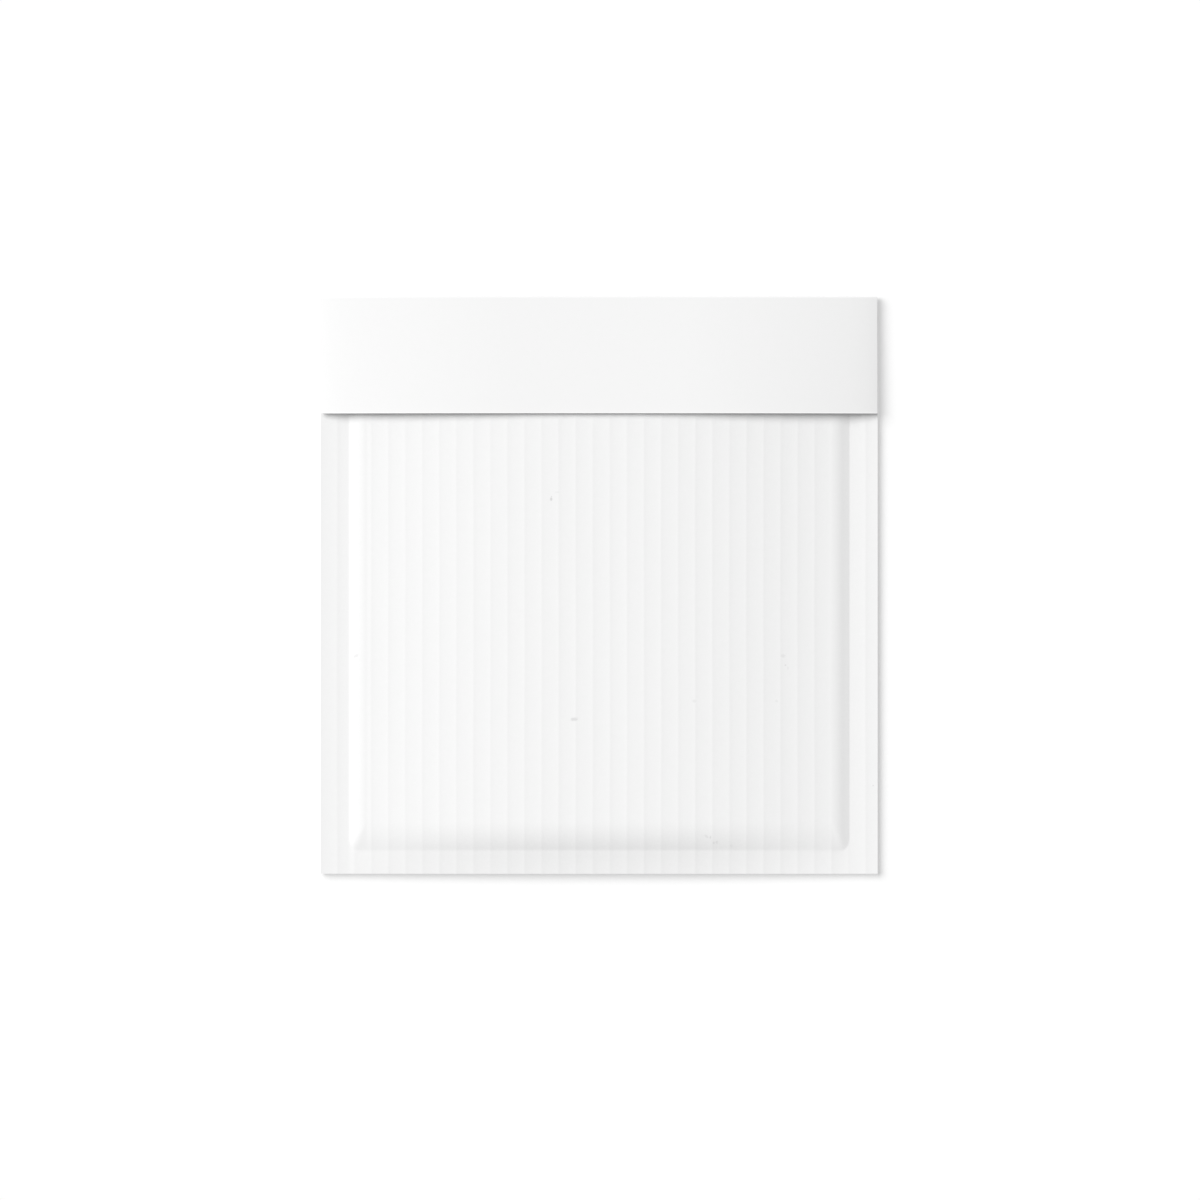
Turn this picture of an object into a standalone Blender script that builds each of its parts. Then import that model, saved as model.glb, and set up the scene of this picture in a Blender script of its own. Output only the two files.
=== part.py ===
"""A padded envelope of white paper, empty, lying on its back with its flap folded shut.

Two outer sheets of paper are glued together along three sides. Each has a sheet of
fluted paper behind it as padding, and its flutes run from the mouth to the bottom.
The back sheet is longer than the front: it folds over the mouth and lies on the
front as the flap, with the adhesive strip and its release strip under it.

X runs across the envelope, Y towards the mouth and Z up. The origin is the middle
of its footprint, on the surface that it lies on. All sizes are in metres.
"""

import math

import bmesh
import bpy
from mathutils import Vector

# Outline
WIDTH = 0.200
LENGTH = 0.2073
SIDE_SEAM = 0.0102
BOTTOM_SEAM = 0.0084
SIDE_SHOULDER = 0.0058
BOTTOM_SHOULDER = 0.0098

# Paper
OUTER_PAPER = 0.00025
FLUTED_PAPER = 0.0002
CLEARANCE = 0.0003

# Fluted padding
FLUTE_PITCH = 0.00612
FLUTE_OFFSET = -0.0022
FLUTE_HEIGHT = 0.0026
EDGE_FLUTE_HEIGHT = 0.0016
FLUTE_LAND = 0.0012
RIB_DEPTH = 0.0001

# Bulge of the walls
POCKET_BULGE = 0.0025
SEAM_LIFT = 0.0012
BOTTOM_SEAM_SHARE = 0.5
CROWN_SHARE = 0.88
CROWN_STRAIGHT = 0.26
SHOULDER_STRAIGHT = 0.5
BOTTOM_STRAIGHT = 0.15

# Flap
FLAP_LENGTH = 0.0421
FLAP_INSET = 0.0003
FLAP_FLAT_WIDTH = 0.062
FLAP_DROOP_POWER = 2.3
FLAP_END_LIFT = 0.0018
FOLD_END_LIFT = 0.0005
FOLD_DEPTH = 0.0006
FOLD_STEPS = 4
MOUTH_SETBACK = 0.0015
MOUTH_CLOSING = 0.9

# Closure
STRIP_PAPER = 0.0002
STRIP_LENGTH = 0.186
STRIP_WIDTH = 0.012
STRIP_FROM_FLAP_EDGE = 0.009
RELEASE_LENGTH = 0.190
RELEASE_WIDTH = 0.016
STRIP_STEPS = 16

HALF_WIDTH = WIDTH / 2
BOTTOM = -LENGTH / 2
TOP = LENGTH / 2
SIDE_CREASE = HALF_WIDTH - SIDE_SEAM
SIDE_PANEL = SIDE_CREASE - SIDE_SHOULDER
BOTTOM_CREASE = BOTTOM + BOTTOM_SEAM
BOTTOM_PANEL = BOTTOM_CREASE + BOTTOM_SHOULDER
FOLD_START = TOP - FOLD_DEPTH
MOUTH_END = FOLD_START - MOUTH_SETBACK
FLAP_EDGE = TOP - FLAP_LENGTH
SEAM_STACK = 2 * OUTER_PAPER + 2 * FLUTED_PAPER + 3 * CLEARANCE
SEAM_TOP = SEAM_LIFT + SEAM_STACK
SHOULDER_RISE = 2 * (EDGE_FLUTE_HEIGHT - FLUTED_PAPER) - SEAM_LIFT
CROWN_RISE = 2 * (FLUTE_HEIGHT - EDGE_FLUTE_HEIGHT) + POCKET_BULGE
FLAP_CLEARANCE = 2 * STRIP_PAPER + 3 * CLEARANCE


def clamp(share):
    return min(1.0, max(0.0, share))


def eased(share, straight):
    """The share of a rise that is reached at a share of the way up it.

    The slope is even over the first straight part of the way, and then bends
    steadily until it is level at the end.
    """
    share = clamp(share)
    bent = max(0.0, share - straight)
    return (share - bent * bent / (2 * (1 - straight))) * 2 / (1 + straight)


def side_fill(x):
    """0 on a side seam and 1 past the shoulder beside it."""
    return eased((SIDE_CREASE - abs(x)) / SIDE_SHOULDER, SHOULDER_STRAIGHT)


def crown(x):
    """0 at the side shoulders and 1 over the middle of the envelope."""
    return eased((SIDE_PANEL - abs(x)) / (CROWN_SHARE * SIDE_PANEL), CROWN_STRAIGHT)


def bottom_fill(y):
    """0 on the bottom seam and 1 past the shoulder above it."""
    return eased((y - BOTTOM_CREASE) / BOTTOM_SHOULDER, BOTTOM_STRAIGHT)


def seam_climb(x, y):
    """How far the bottom seam has climbed from its outer edge, towards half of the crown."""
    return BOTTOM_SEAM_SHARE * CROWN_RISE * crown(x) * clamp((y - BOTTOM) / BOTTOM_SEAM)


def under_flap(y):
    """0 at the flap's free edge and 1 at its fold."""
    return clamp((y - FLAP_EDGE) / (FOLD_START - FLAP_EDGE))


def back_face(x, y):
    """Height of the outer face of the back: level under the panel, lifted at the seams."""
    fill = bottom_fill(y)
    return SEAM_LIFT * (1 - side_fill(x) * fill) + seam_climb(x, y) * (1 - fill)


def front_face(x, y):
    """Height of the outer face of the front: a shoulder inside each seam, and a crown."""
    fill = bottom_fill(y)
    shoulder = SHOULDER_RISE * side_fill(x) * fill
    rest_of_crown = (1 - BOTTOM_SEAM_SHARE) * CROWN_RISE * crown(x) * fill
    closing = MOUTH_CLOSING * POCKET_BULGE * crown(x) * under_flap(y)
    return SEAM_TOP + seam_climb(x, y) + shoulder + rest_of_crown - closing


def flute_height(x, y):
    """Full height of the fluted paper: crushed flat in the seams, and full in the middle."""
    edge = (EDGE_FLUTE_HEIGHT - FLUTED_PAPER) * side_fill(x)
    middle = (FLUTE_HEIGHT - EDGE_FLUTE_HEIGHT) * crown(x)
    return FLUTED_PAPER + (edge + middle) * bottom_fill(y)


def from_ridge(x):
    """Distance from x to the nearest line where a flute is glued to the outer sheet."""
    return abs((x - FLUTE_OFFSET + FLUTE_PITCH / 2) % FLUTE_PITCH - FLUTE_PITCH / 2)


def rib_sag(x):
    """How far the outer sheet sinks in between two flutes."""
    return RIB_DEPTH * clamp(
        (from_ridge(x) - FLUTE_LAND / 2) / (FLUTE_PITCH / 2 - FLUTE_LAND / 2)
    )


def flute_wave(x):
    """0 on the flat tips that touch the outer sheet and 1 on those that face the pocket."""
    return clamp((from_ridge(x) - FLUTE_LAND / 2) / (FLUTE_PITCH / 2 - FLUTE_LAND))


def flap_underside(x, along):
    """Height of the flap's lower face, with along 0 at its free edge and 1 at its fold.

    The flap is flat in the middle, where it rests on the front, and from there to
    its ends it droops over the sides, more and more steeply.
    """
    flat = FLAP_FLAT_WIDTH / 2
    droop = clamp((abs(x) - flat) / (HALF_WIDTH - flat)) ** FLAP_DROOP_POWER
    y = FLAP_EDGE + (FOLD_START - FLAP_EDGE) * along
    middle = front_face(0, y) + FLAP_CLEARANCE
    end = SEAM_TOP + FLAP_END_LIFT + (FOLD_END_LIFT - FLAP_END_LIFT) * along
    return middle + (end - middle) * droop


def flute_columns(tips_inside):
    """X values at which the papers bend: the seam creases, and the flutes between them.

    Each flute has the two edges of the tip that touches the outer sheet, and either
    the two edges of its other tip or only the line half-way between two flutes.
    """
    creases = [HALF_WIDTH, SIDE_CREASE, SIDE_CREASE - SIDE_SHOULDER / 2, SIDE_PANEL]
    found = creases + [-x for x in creases]
    bends = [-FLUTE_LAND / 2, FLUTE_LAND / 2]
    if tips_inside:
        bends += [FLUTE_PITCH / 2 - FLUTE_LAND / 2, FLUTE_PITCH / 2 + FLUTE_LAND / 2]
    else:
        bends += [FLUTE_PITCH / 2]
    flutes = math.ceil(WIDTH / FLUTE_PITCH)
    for flute in range(-flutes, flutes + 1):
        for bend in bends:
            x = FLUTE_OFFSET + flute * FLUTE_PITCH + bend
            clear = min(abs(abs(x) - crease) for crease in creases) > FLUTE_LAND / 2
            if clear and abs(x) < HALF_WIDTH:
                found.append(x)
    return sorted(found)


def panel_rows(shoulder_steps):
    """Y values at which a wall bends, from its bottom edge to its edge at the mouth."""
    rows = [BOTTOM]
    for step in range(shoulder_steps + 1):
        rows.append(BOTTOM_CREASE + BOTTOM_SHOULDER * step / shoulder_steps)
    return rows + [FLAP_EDGE, MOUTH_END]


def make_material(name, colour, roughness):
    material = bpy.data.materials.new(name)
    material.use_nodes = True
    shader = material.node_tree.nodes["Principled BSDF"]
    shader.inputs["Base Color"].default_value = (*colour, 1.0)
    shader.inputs["Roughness"].default_value = roughness
    shader.inputs["Metallic"].default_value = 0.0
    return material


def make_sheet(name, columns, rows, place, thickness, side, material):
    """A sheet of paper: an open grid bent to its shape, and then given its thickness.

    place(column, row) is the point of the face that is modelled. The thickness goes
    behind that face where side is -1, and in front of it where side is 1.
    """
    across = len(columns) - 1
    along = len(rows) - 1
    grid = bmesh.new()
    bmesh.ops.create_grid(grid, x_segments=across, y_segments=along, size=1)
    for vertex in grid.verts:
        column = columns[round((vertex.co.x + 1) / 2 * across)]
        row = rows[round((vertex.co.y + 1) / 2 * along)]
        vertex.co = place(column, row)
    mesh = bpy.data.meshes.new(name)
    grid.to_mesh(mesh)
    grid.free()
    mesh.materials.append(material)
    sheet = bpy.data.objects.new(name, mesh)
    bpy.data.collections["padded_envelope"].objects.link(sheet)
    wall = sheet.modifiers.new("Thickness", "SOLIDIFY")
    wall.thickness = thickness
    wall.offset = side
    wall.use_even_offset = True


def front_sheet():
    def place(x, y):
        return Vector((x, y, front_face(x, y) - rib_sag(x)))

    paper = make_material("white_paper_front", (0.90, 0.90, 0.90), 0.8)
    make_sheet(
        "front_sheet", flute_columns(False), panel_rows(3), place, OUTER_PAPER, -1, paper
    )


def back_sheet():
    """The back panel, the fold over the mouth and the flap, along one run of rows."""
    panel = [("panel", y) for y in panel_rows(3)]
    fold = [("fold", step / FOLD_STEPS) for step in range(FOLD_STEPS + 1)]
    flap = [("flap", 0.0)]

    def place(x, row):
        part, value = row
        if part == "panel":
            return Vector((x, value, back_face(x, value) + rib_sag(x)))
        flap_x = x * (HALF_WIDTH - FLAP_INSET) / HALF_WIDTH
        if part == "flap":
            return Vector((flap_x, FLAP_EDGE, flap_underside(x, value) + OUTER_PAPER))
        low = back_face(x, FOLD_START)
        high = flap_underside(x, 1.0) + OUTER_PAPER
        turn = math.pi * value
        return Vector(
            (
                x + (flap_x - x) * value,
                FOLD_START + FOLD_DEPTH * math.sin(turn),
                low + (high - low) * (1 - math.cos(turn)) / 2,
            )
        )

    paper = make_material("white_paper_back", (0.90, 0.90, 0.90), 0.8)
    rows = panel + fold + flap
    make_sheet("back_sheet", flute_columns(False), rows, place, OUTER_PAPER, 1, paper)


def front_fluting():
    def place(x, y):
        tip = front_face(x, y) - OUTER_PAPER - CLEARANCE
        return Vector((x, y, tip - (flute_height(x, y) - FLUTED_PAPER) * flute_wave(x)))

    paper = make_material("fluted_paper_front", (0.82, 0.81, 0.79), 0.85)
    make_sheet(
        "front_fluting", flute_columns(True), panel_rows(1), place, FLUTED_PAPER, -1, paper
    )


def back_fluting():
    def place(x, y):
        tip = back_face(x, y) + OUTER_PAPER + CLEARANCE
        return Vector((x, y, tip + (flute_height(x, y) - FLUTED_PAPER) * flute_wave(x)))

    paper = make_material("fluted_paper_back", (0.82, 0.81, 0.79), 0.85)
    make_sheet(
        "back_fluting", flute_columns(True), panel_rows(1), place, FLUTED_PAPER, 1, paper
    )


def strip(name, length, width, depth, material):
    """A strip across the flap, with its upper face a depth below the flap's underside."""
    middle = FLAP_EDGE + STRIP_FROM_FLAP_EDGE + STRIP_WIDTH / 2

    def place(x, y):
        return Vector((x, y, flap_underside(x, under_flap(y)) - depth))

    columns = [length * (step / STRIP_STEPS - 0.5) for step in range(STRIP_STEPS + 1)]
    rows = [middle - width / 2, middle + width / 2]
    make_sheet(name, columns, rows, place, STRIP_PAPER, -1, material)


def adhesive_strip():
    glue = make_material("adhesive", (0.80, 0.76, 0.62), 0.35)
    strip("adhesive_strip", STRIP_LENGTH, STRIP_WIDTH, CLEARANCE, glue)


def release_strip():
    coated = make_material("coated_paper", (0.85, 0.86, 0.86), 0.3)
    depth = 2 * CLEARANCE + STRIP_PAPER
    strip("release_strip", RELEASE_LENGTH, RELEASE_WIDTH, depth, coated)


def main():
    for existing in list(bpy.data.objects):
        bpy.data.objects.remove(existing, do_unlink=True)
    collection = bpy.data.collections.new("padded_envelope")
    bpy.context.scene.collection.children.link(collection)
    back_sheet()
    back_fluting()
    front_fluting()
    front_sheet()
    adhesive_strip()
    release_strip()


main()
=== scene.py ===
"""Visual model of a padded envelope of white paper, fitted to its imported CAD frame.

The envelope lies on its back with its flap folded shut. X runs across it, Y towards
its mouth and Z up. All sizes are in metres.
"""

import math

import bpy
import numpy as np
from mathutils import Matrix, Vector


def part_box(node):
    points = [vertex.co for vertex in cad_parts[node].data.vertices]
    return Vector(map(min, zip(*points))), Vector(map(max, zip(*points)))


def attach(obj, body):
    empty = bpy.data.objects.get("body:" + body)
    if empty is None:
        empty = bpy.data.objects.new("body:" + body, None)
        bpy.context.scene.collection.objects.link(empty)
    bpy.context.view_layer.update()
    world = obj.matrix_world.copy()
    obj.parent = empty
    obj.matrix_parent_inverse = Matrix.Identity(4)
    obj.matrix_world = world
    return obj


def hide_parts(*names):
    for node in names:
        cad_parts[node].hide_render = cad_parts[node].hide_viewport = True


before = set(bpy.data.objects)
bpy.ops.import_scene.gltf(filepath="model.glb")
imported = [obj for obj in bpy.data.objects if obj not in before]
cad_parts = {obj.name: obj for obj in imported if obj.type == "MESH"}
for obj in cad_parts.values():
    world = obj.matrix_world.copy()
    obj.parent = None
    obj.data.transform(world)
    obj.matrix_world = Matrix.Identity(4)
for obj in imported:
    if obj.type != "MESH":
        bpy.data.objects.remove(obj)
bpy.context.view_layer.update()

# Front sheet
# The front wall's outer sheet of white kraft paper. The flutes glued behind it show
# through as ribs, and it is pressed down on to the back sheet along its three seams.
front_low, front_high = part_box("front_sheet")
half_width = front_high.x
bottom = front_low.y
mouth_end = front_high.y
mouth_setback = 0.0015
fold_start = mouth_end + mouth_setback
flap_edge = 0.0616
side_seam = 0.0102
bottom_seam = 0.0080
side_shoulder = 0.0064
bottom_shoulder = 0.011
side_crease = half_width - side_seam
side_panel = side_crease - side_shoulder
bottom_crease = bottom + bottom_seam
bottom_panel = bottom_crease + bottom_shoulder
shoulder_straight = 0.4
bottom_power = 2.2
crease_round = 0.04
outer_paper = 0.00025
fluted_paper = 0.0002
seam_stack = 0.0018
seam_lift = 0.0012
seam_top = seam_lift + seam_stack
flute_pitch = 0.00612
flute_offset = -0.0023
flute_height = 0.0026
edge_flute_height = 0.0016
pocket_bulge = 0.0025
mouth_closing = 0.7
crown_share = 0.88
crown_straight = 0.26
slow_crown = 0.125
bow_share = 0.9
bottom_edge_lift = 0.0013
bottom_seam_rise = 0.00165
shoulder_rise = 2 * (edge_flute_height - fluted_paper) - seam_lift
crown_rise = 2 * (flute_height - edge_flute_height) + pocket_bulge
rib_depth = 0.000088


def eased(share, straight):
    """Rises evenly over the straight part of the way, then bends until it is level at 1."""
    share = np.clip(share, 0.0, 1.0)
    bent = np.maximum(share - straight, 0.0)
    return (share - bent**2 / (2 * (1 - straight))) * 2 / (1 + straight)


def side_fill(x):
    """0 on a side seam, rising to 1 over the shoulder beside it."""
    return eased((side_crease - np.abs(x)) / side_shoulder, shoulder_straight)


def crown(x):
    """0 at the side shoulders, rising to 1 over the middle of the envelope."""
    return eased((side_panel - np.abs(x)) / (crown_share * side_panel), crown_straight)


def bottom_fill(y):
    """0 on the bottom seam, rising to 1 over the shoulder above it.

    It rises as 1 - (1 - t)^bottom_power, and a hyperbola rounds the crease, where it begins.
    """
    t = np.clip((y - bottom_crease) / bottom_shoulder, 0.0, 1.0)
    rounded = np.sqrt(t**2 + crease_round**2) - crease_round
    whole_way = math.sqrt(1 + crease_round**2) - crease_round
    return 1 - (1 - rounded / whole_way) ** bottom_power


def shoulder_fill(x, y):
    """0 on the seams, rising to 1 over their shoulders, which meet in a rounded hip.

    It is 1 less the cube root of the sum of the two shoulders' missing shares, each cubed.
    """
    missing = (1 - side_fill(x)) ** 3 + (1 - bottom_fill(y)) ** 3
    return np.maximum(1 - np.cbrt(missing), 0.0)


def seam_climb(x, y):
    """How far the bottom edge bows up, and the seam climbs from it as 0.75 t + 0.25 t^2."""
    t = np.clip((y - bottom) / bottom_seam, 0.0, 1.0)
    bow = eased((side_crease - np.abs(x)) / (bow_share * side_crease), 0.0)
    return bow * (bottom_edge_lift + bottom_seam_rise * (0.75 * t + 0.25 * t**2))


def way_to_fold(y):
    """0 at the flap's free edge and 1 at its fold."""
    return (y - flap_edge) / (fold_start - flap_edge)


def front_face(x, y):
    """The seams' height, and the shoulders' and the crown's rise, less the mouth's closing.

    A small share of the crown's rise is reached slowly, from the bottom seam to the flap.
    """
    quick_crown = (1 - slow_crown) * crown_rise * crown(x)
    rise = (quick_crown - seam_climb(x, bottom_crease)) * bottom_fill(y)
    rise = rise + shoulder_rise * shoulder_fill(x, y)
    way = np.clip((y - bottom_crease) / (flap_edge - bottom_crease), 0.0, 1.0)
    closing = mouth_closing * pocket_bulge * np.clip(way_to_fold(y), 0.0, 1.0)
    slow = (slow_crown * crown_rise * way - closing) * crown(x)
    return seam_top + seam_climb(x, y) + rise + slow


def ribs(x, y):
    """How far the paper sags between two flutes: 1 - u^4.5 - (1 - u)^5.5 of the depth.

    u runs from ridge to ridge. The ridges wander by up to 0.08 mm along their length, and
    the depth varies by up to 18 % from rib to rib and along each rib.
    """
    wander = 0.00005 * np.sin(46 * y + 31 * x) + 0.00003 * np.sin(131 * y - 57 * x)
    u = (x + wander - flute_offset) / flute_pitch
    rib = np.floor(u)
    u = u - rib
    depth = rib_depth * (1 + 0.12 * np.sin(2.4 * rib) + 0.06 * np.sin(90 * y + 1.7 * rib))
    return depth * (1 - u**4.5 - (1 - u) ** 5.5)


def runs_of(*stops):
    """Values from stop to stop: (start, (steps, end), (steps, end), ...)."""
    values = [np.array([stops[0]])]
    for steps, end in stops[1:]:
        values.append(np.linspace(values[-1][-1], end, steps + 1)[1:])
    return np.concatenate(values)


def paper_solid(name, x, y, z, thickness, material, turned=False):
    """A closed sheet: an outer face on a grid, an inner face behind it, and a flat cut edge.

    The inner face is the outer one moved back along its normals, which are the cross
    product of the grid's two directions. On a turned sheet the outer face looks down.
    """
    outer = np.stack(np.broadcast_arrays(x, y, z), axis=-1)
    across = np.gradient(outer, axis=1)
    along = np.gradient(outer, axis=0)
    normal = np.cross(along, across) if turned else np.cross(across, along)
    normal /= np.linalg.norm(normal, axis=-1, keepdims=True)
    inner = outer - normal * thickness
    rows, columns = outer.shape[:2]
    index = np.arange(rows * columns).reshape(rows, columns)
    faces = np.stack([index[:-1, :-1], index[:-1, 1:], index[1:, 1:], index[1:, :-1]], -1)
    faces = faces.reshape(-1, 4)
    border = np.concatenate([index[0], index[1:, -1], index[-1, -2::-1], index[-2:0:-1, 0]])
    after = np.roll(border, -1)
    below = rows * columns
    rim = np.stack([border, border + below, after + below, after], -1)
    if turned:
        faces = faces[:, ::-1]
        rim = rim[:, ::-1]
    points = np.concatenate([outer, inner]).reshape(-1, 3)
    all_faces = np.concatenate([faces, faces[:, ::-1] + below, rim])
    mesh = bpy.data.meshes.new(name)
    mesh.from_pydata(points.tolist(), [], all_faces.tolist())
    mesh.shade_smooth()
    least_cut_angle = math.radians(50)
    mesh.set_sharp_from_angle(angle=least_cut_angle)
    mesh.materials.append(material)
    mesh.update()
    sheet = bpy.data.objects.new(name, mesh)
    bpy.context.scene.collection.objects.link(sheet)
    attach(sheet, "root")
    return sheet


def add_node(material, kind, **settings):
    """A new node in the material, with its properties set."""
    node = material.node_tree.nodes.new(kind)
    for name, value in settings.items():
        setattr(node, name, value)
    return node


def new_paper(name, colour, roughness, mottle, fibre_bump):
    """Matte paper: the pulp's clouds vary its colour by the mottle, and fibres roughen it."""
    material = bpy.data.materials.new(name)
    material.use_nodes = True
    links = material.node_tree.links
    shader = material.node_tree.nodes["Principled BSDF"]
    shader.inputs["Specular IOR Level"].default_value = 0.25
    place = add_node(material, "ShaderNodeTexCoord")

    clouds = add_node(material, "ShaderNodeTexNoise")
    clouds.inputs["Scale"].default_value = 420
    clouds.inputs["Detail"].default_value = 6
    clouds.inputs["Roughness"].default_value = 0.65
    links.new(place.outputs["Object"], clouds.inputs["Vector"])
    tone = add_node(material, "ShaderNodeMapRange")
    tone.inputs["From Min"].default_value = 0.3
    tone.inputs["From Max"].default_value = 0.7
    tone.inputs["To Min"].default_value = 1 - mottle
    tone.inputs["To Max"].default_value = 1 + mottle
    links.new(clouds.outputs["Fac"], tone.inputs["Value"])
    tint = add_node(material, "ShaderNodeVectorMath", operation="SCALE", name="Tint")
    tint.inputs[0].default_value = colour
    links.new(tone.outputs["Result"], tint.inputs["Scale"])
    links.new(tint.outputs["Vector"], shader.inputs["Base Color"])

    stretch = add_node(material, "ShaderNodeMapping")
    stretch.inputs["Rotation"].default_value = (0, 0, 0.5)
    stretch.inputs["Scale"].default_value = (1, 2.6, 1)
    links.new(place.outputs["Object"], stretch.inputs["Vector"])
    fibres = add_node(material, "ShaderNodeTexNoise")
    fibres.inputs["Scale"].default_value = 1500
    fibres.inputs["Detail"].default_value = 5
    fibres.inputs["Roughness"].default_value = 0.6
    fibres.inputs["Distortion"].default_value = 1.2
    links.new(stretch.outputs["Vector"], fibres.inputs["Vector"])
    bump = add_node(material, "ShaderNodeBump")
    bump.inputs["Strength"].default_value = 1.0
    bump.inputs["Distance"].default_value = fibre_bump
    links.new(fibres.outputs["Fac"], bump.inputs["Height"])
    links.new(bump.outputs["Normal"], shader.inputs["Normal"])

    unevenness = 0.06
    dull = add_node(material, "ShaderNodeMapRange")
    dull.inputs["To Min"].default_value = roughness - unevenness
    dull.inputs["To Max"].default_value = roughness + unevenness
    links.new(fibres.outputs["Fac"], dull.inputs["Value"])
    links.new(dull.outputs["Result"], shader.inputs["Roughness"])
    return material


def add_flecks(material, flecks):
    """Grey flecks in the pulp: ragged ellipses that darken the paper's colour."""
    links = material.node_tree.links
    shader = material.node_tree.nodes["Principled BSDF"]
    place = material.node_tree.nodes["Texture Coordinate"]
    ragged = add_node(material, "ShaderNodeTexNoise")
    ragged.inputs["Scale"].default_value = 1600
    ragged.inputs["Detail"].default_value = 2
    links.new(place.outputs["Object"], ragged.inputs["Vector"])
    darkest = None
    for x, y, half_length, half_height, turn, darkness in flecks:
        local = add_node(material, "ShaderNodeMapping", vector_type="TEXTURE")
        local.inputs["Location"].default_value = (x, y, 0)
        local.inputs["Rotation"].default_value = (0, 0, turn)
        local.inputs["Scale"].default_value = (half_length, half_height, 1)
        links.new(place.outputs["Object"], local.inputs["Vector"])
        away = add_node(material, "ShaderNodeVectorMath", operation="LENGTH")
        links.new(local.outputs["Vector"], away.inputs[0])
        frayed = add_node(material, "ShaderNodeMath", operation="ADD")
        links.new(away.outputs["Value"], frayed.inputs[0])
        links.new(ragged.outputs["Fac"], frayed.inputs[1])
        grey = add_node(material, "ShaderNodeMapRange", interpolation_type="SMOOTHSTEP")
        grey.inputs["From Min"].default_value = 1.0
        grey.inputs["From Max"].default_value = 1.8
        grey.inputs["To Min"].default_value = darkness
        grey.inputs["To Max"].default_value = 0.0
        links.new(frayed.outputs["Value"], grey.inputs["Value"])
        if darkest is None:
            darkest = grey.outputs["Result"]
        else:
            deeper = add_node(material, "ShaderNodeMath", operation="MAXIMUM")
            links.new(darkest, deeper.inputs[0])
            links.new(grey.outputs["Result"], deeper.inputs[1])
            darkest = deeper.outputs["Value"]
    left = add_node(material, "ShaderNodeMath", operation="SUBTRACT")
    left.inputs[0].default_value = 1.0
    links.new(darkest, left.inputs[1])
    specked = add_node(material, "ShaderNodeVectorMath", operation="SCALE")
    links.new(material.node_tree.nodes["Tint"].outputs["Vector"], specked.inputs[0])
    links.new(left.outputs["Value"], specked.inputs["Scale"])
    links.new(specked.outputs["Vector"], shader.inputs["Base Color"])


white = (0.80, 0.80, 0.80)
front_paper = new_paper(
    "white_kraft_front", white, roughness=0.85, mottle=0.006, fibre_bump=0.00001
)
# Each fleck's x, y, half length, half height, turn and darkness
front_flecks = [
    (-0.0172, 0.0308, 0.0005, 0.0006, 0.0, 0.21),
    (-0.0171, 0.0317, 0.0003, 0.0003, 0.0, 0.13),
    (-0.0150, 0.0333, 0.0008, 0.0004, 0.0, 0.05),
    (-0.0090, -0.0481, 0.0013, 0.0007, 0.1, 0.16),
    (0.0660, -0.0254, 0.0009, 0.0006, 0.0, 0.08),
    (0.0668, -0.0287, 0.0004, 0.0003, 0.0, 0.14),
    (0.0677, -0.0298, 0.0003, 0.0007, 0.0, 0.06),
    (0.0637, -0.0416, 0.0006, 0.0005, 0.0, 0.06),
    (0.0341, -0.0416, 0.0007, 0.0006, 0.0, 0.07),
    (0.0385, -0.0901, 0.0009, 0.0005, -0.6, 0.08),
    (0.0399, -0.0905, 0.0003, 0.0006, 0.0, 0.13),
    (0.0411, -0.0925, 0.0004, 0.0005, 0.0, 0.09),
    (0.0422, -0.0923, 0.0005, 0.0006, 0.0, 0.09),
    (0.0474, -0.0935, 0.0005, 0.0007, 0.4, 0.05),
    (-0.0873, -0.0254, 0.0010, 0.0005, 0.5, 0.09),
    (0.0984, -0.0720, 0.0003, 0.0003, 0.0, 0.15),
]
add_flecks(front_paper, front_flecks)

columns = runs_of(
    -half_width,
    (32, -side_crease),
    (18, -side_panel),
    (525, side_panel),
    (18, side_crease),
    (32, half_width),
)
front_rows = runs_of(
    bottom, (9, bottom_crease), (24, bottom_panel), (26, flap_edge), (6, mouth_end)
)
x, y = np.meshgrid(columns, front_rows)
z = front_face(x, y) - ribs(x, y)
front = paper_solid("front_paper", x, y, z, outer_paper, front_paper)
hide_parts("front_sheet")

# Back sheet with the flap
# The back wall's outer sheet, of the same paper. It is cut longer than the front, so it
# turns once over the mouth and lies on the front as the flap, smooth where no flutes are.
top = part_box("back_sheet")[1].y
rib_fading = 0.004
fold_radius = 0.0006
flap_inset = 0.0001
flap_flat = 0.031
flap_gap = 0.0015
edge_end_gap = 0.0017
fold_end_gap = 0.0007
curl_width = 0.0006
curl_height = 0.00009


def back_face(x, y):
    """Level under the panel, and lifted at the seams, where it meets the front."""
    return seam_lift * (1 - shoulder_fill(x, y)) + seam_climb(x, y) * (1 - bottom_fill(y))


def flap_across(x):
    """The flap is cut a little narrower than the panel, so it is drawn in at both ends."""
    return x * (half_width - flap_inset) / half_width


def flap_underside(x, y):
    """Flat across its middle, then drooping to its ends as 0.92 t^2 + 0.08 t^16.

    Its middle lies over the front's, and its ends over the side seams.
    """
    t = np.clip((np.abs(x) - flap_flat) / (half_width - flap_flat), 0.0, 1.0)
    droop = 0.92 * t**2 + 0.08 * t**16
    middle = front_face(0.0, y) + flap_gap
    end = seam_top + edge_end_gap - (edge_end_gap - fold_end_gap) * way_to_fold(y)
    return middle + (end - middle) * droop


panel_rows = runs_of(bottom, (7, bottom_crease), (16, bottom_panel), (18, mouth_end))
x, y = np.meshgrid(columns, panel_rows)
fading = np.clip((fold_start - y) / rib_fading, 0.0, 1.0)
panel = np.stack([x, y, back_face(x, y) + ribs(x, y) * fading], -1)

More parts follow.
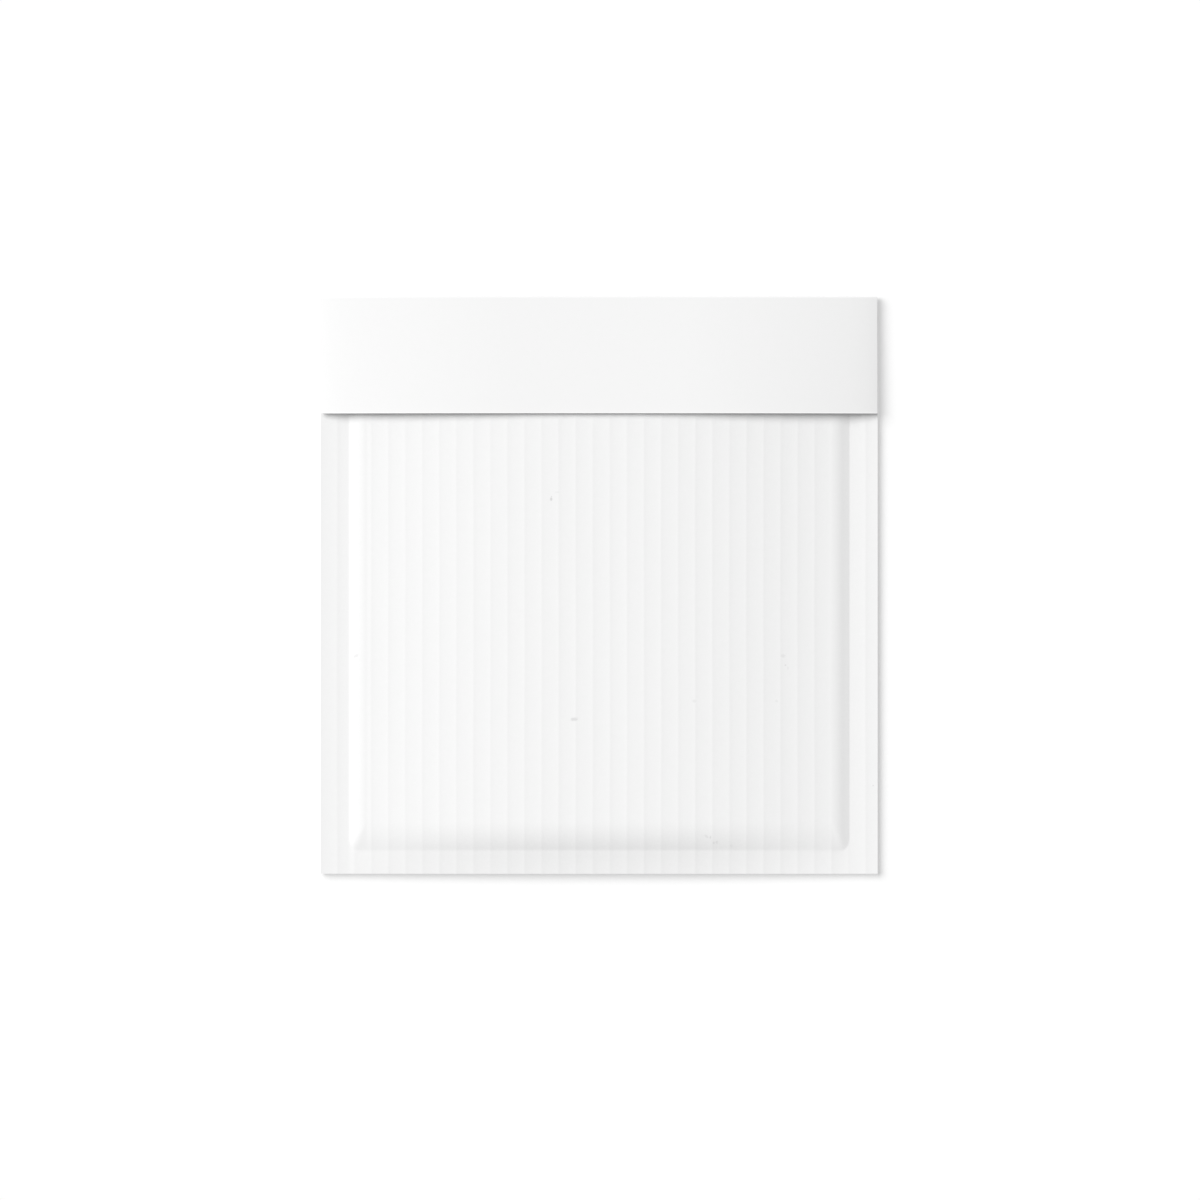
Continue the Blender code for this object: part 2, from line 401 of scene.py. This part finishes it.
# The fold is a quarter circle, a straight wall as high as the envelope is there, and
# another quarter circle. Its radius is more than the paper's thickness.
turns = runs_of(0.0, (7, math.pi / 2), (2, math.pi / 2), (7, math.pi))
climbs = runs_of(0.0, (7, 0.0), (2, 1.0), (7, 1.0))
x, turn = np.meshgrid(columns, turns)
x, climb = np.meshgrid(columns, climbs)
fold_foot = back_face(x, fold_start)
fold_head = flap_underside(x, fold_start) + outer_paper
wall = fold_head - fold_foot - 2 * fold_radius
fold = np.stack(
    [
        x + (flap_across(x) - x) * turn / math.pi,
        top - fold_radius + fold_radius * np.sin(turn),
        fold_foot + fold_radius * (1 - np.cos(turn)) + wall * climb,
    ],
    -1,
)

# The flap's rows are closest beside the fold and at the free edge, which curls up a little.
flap_rows = runs_of(
    fold_start, (2, fold_start - 0.0004), (10, flap_edge + curl_width), (6, flap_edge)
)[1:]
x, y = np.meshgrid(columns, flap_rows)
curl = curl_height * np.clip((flap_edge + curl_width - y) / curl_width, 0.0, 1.0) ** 2
flap = np.stack([flap_across(x), y, flap_underside(x, y) + outer_paper + curl], -1)

x, y, z = np.moveaxis(np.concatenate([panel, fold, flap]), -1, 0)
back_paper = new_paper(
    "white_kraft_back", white, roughness=0.85, mottle=0.004, fibre_bump=0.000008
)
back = paper_solid("back_paper_with_flap", x, y, z, outer_paper, back_paper, turned=True)
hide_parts("back_sheet")

# Fluted padding
# A sheet of fluted paper behind each outer sheet is what pads the envelope. It is glued
# to it along the ridges, stands full in the pocket's walls, and is crushed in the seams.
crushed_wave = 0.00037
glue_film = 0.00006


def flute_wave(x, y):
    """A cosine from ridge to ridge, as high as the flutes are there."""
    shoulder = (edge_flute_height - fluted_paper - crushed_wave) * shoulder_fill(x, y)
    middle = (flute_height - edge_flute_height) * crown(x) * bottom_fill(y)
    height = crushed_wave + shoulder + middle
    return height * (1 - np.cos(2 * math.pi * (x - flute_offset) / flute_pitch)) / 2


def glue_depth(face):
    """The outer paper's thickness and the glue, measured upright: more where the face leans."""
    lean_y, lean_x = np.gradient(face, flute_rows, flute_columns)
    return (outer_paper + glue_film) * np.sqrt(1 + lean_x**2 + lean_y**2)


pale_grey = (0.76, 0.75, 0.73)
fluted = new_paper("fluted_medium", pale_grey, roughness=0.9, mottle=0.02, fibre_bump=0.00002)
flute_columns = runs_of(
    -half_width,
    (20, -side_crease),
    (12, -side_panel),
    (330, side_panel),
    (12, side_crease),
    (20, half_width),
)
flute_rows = runs_of(bottom, (5, bottom_crease), (12, bottom_panel), (14, mouth_end))
x, y = np.meshgrid(flute_columns, flute_rows)
face = front_face(x, y)
z = face - glue_depth(face) - flute_wave(x, y)
front_padding = paper_solid("front_fluted_padding", x, y, z, fluted_paper, fluted)
face = back_face(x, y)
z = face + glue_depth(face) + flute_wave(x, y)
back_padding = paper_solid("back_fluted_padding", x, y, z, fluted_paper, fluted, turned=True)
for padding, node in ((front_padding, "front_fluting"), (back_padding, "back_fluting")):
    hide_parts(node)

# Closing strips
# A band of hot-melt adhesive lies across the inside of the flap. The coated release
# paper over it is a little longer and wider, so that it can be gripped and peeled off.
strip_middle = flap_edge + 0.015
strip_thickness = 0.0002
strip_gap = 0.00002


def closing_strip(name, half_length, half_breadth, depth, material):
    """A band that follows the flap's underside, with its upper face a depth below it."""
    x, y = np.meshgrid(
        np.linspace(-half_length, half_length, 121),
        np.linspace(strip_middle - half_breadth, strip_middle + half_breadth, 7),
    )
    return paper_solid(name, x, y, flap_underside(x, y) - depth, strip_thickness, material)


amber = (0.72, 0.68, 0.55)
glue = new_paper("hot_melt_adhesive", amber, roughness=0.3, mottle=0.03, fibre_bump=0.00003)
adhesive = closing_strip("adhesive_band", 0.093, 0.006, strip_gap, glue)
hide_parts("adhesive_strip")

bluish_white = (0.78, 0.79, 0.79)
coated = new_paper(
    "coated_release_paper", bluish_white, roughness=0.35, mottle=0.005, fibre_bump=0.000005
)
release_depth = 2 * strip_gap + strip_thickness
release = closing_strip("release_band", 0.095, 0.008, release_depth, coated)
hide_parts("release_strip")

# Studio
# A wide white sheet is the ground. It glows a little, so that it turns out pure white. The
# light is soft and comes from the upper left, and the camera hangs far above the middle.
reach = 60
corners = [(-reach, -reach, 0), (reach, -reach, 0), (reach, reach, 0), (-reach, reach, 0)]
ground = bpy.data.meshes.new("ground")
ground.from_pydata(corners, [], [(0, 1, 2, 3)])
white_ground = bpy.data.materials.new("white_ground")
white_ground.use_nodes = True
ground_shader = white_ground.node_tree.nodes["Principled BSDF"]
ground_shader.inputs["Base Color"].default_value = (0.56, 0.56, 0.56, 1)
ground_shader.inputs["Emission Color"].default_value = (1, 1, 1, 1)
ground_shader.inputs["Emission Strength"].default_value = 0.373
ground_shader.inputs["Roughness"].default_value = 1.0
ground_shader.inputs["Specular IOR Level"].default_value = 0.0
ground.materials.append(white_ground)
floor = bpy.data.objects.new("ground", ground)
bpy.context.scene.collection.objects.link(floor)

# Degrees above the ground, and degrees round from +X towards +Y
key_elevation = 52
key_azimuth = 147
key = bpy.data.lights.new("soft_key", "SUN")
key.energy = 3.172
key.angle = math.radians(46)
key_lamp = bpy.data.objects.new("soft_key", key)
key_lamp.rotation_euler = (0, math.radians(90 - key_elevation), math.radians(key_azimuth))
bpy.context.scene.collection.objects.link(key_lamp)

world = bpy.data.worlds.new("pale_room")
world.use_nodes = True
world.node_tree.nodes["Background"].inputs["Color"].default_value = (1, 1, 1, 1)
world.node_tree.nodes["Background"].inputs["Strength"].default_value = 0.340
bpy.context.scene.world = world

camera = bpy.data.cameras.new("camera")
camera.lens = 300
camera.sensor_width = 36
camera_stand = bpy.data.objects.new("camera", camera)
camera_stand.location = (0.0003, -0.00535, 3.594)
bpy.context.scene.collection.objects.link(camera_stand)
bpy.context.scene.camera = camera_stand
bpy.context.scene.view_settings.view_transform = "Standard"
bpy.context.scene.view_settings.look = "None"
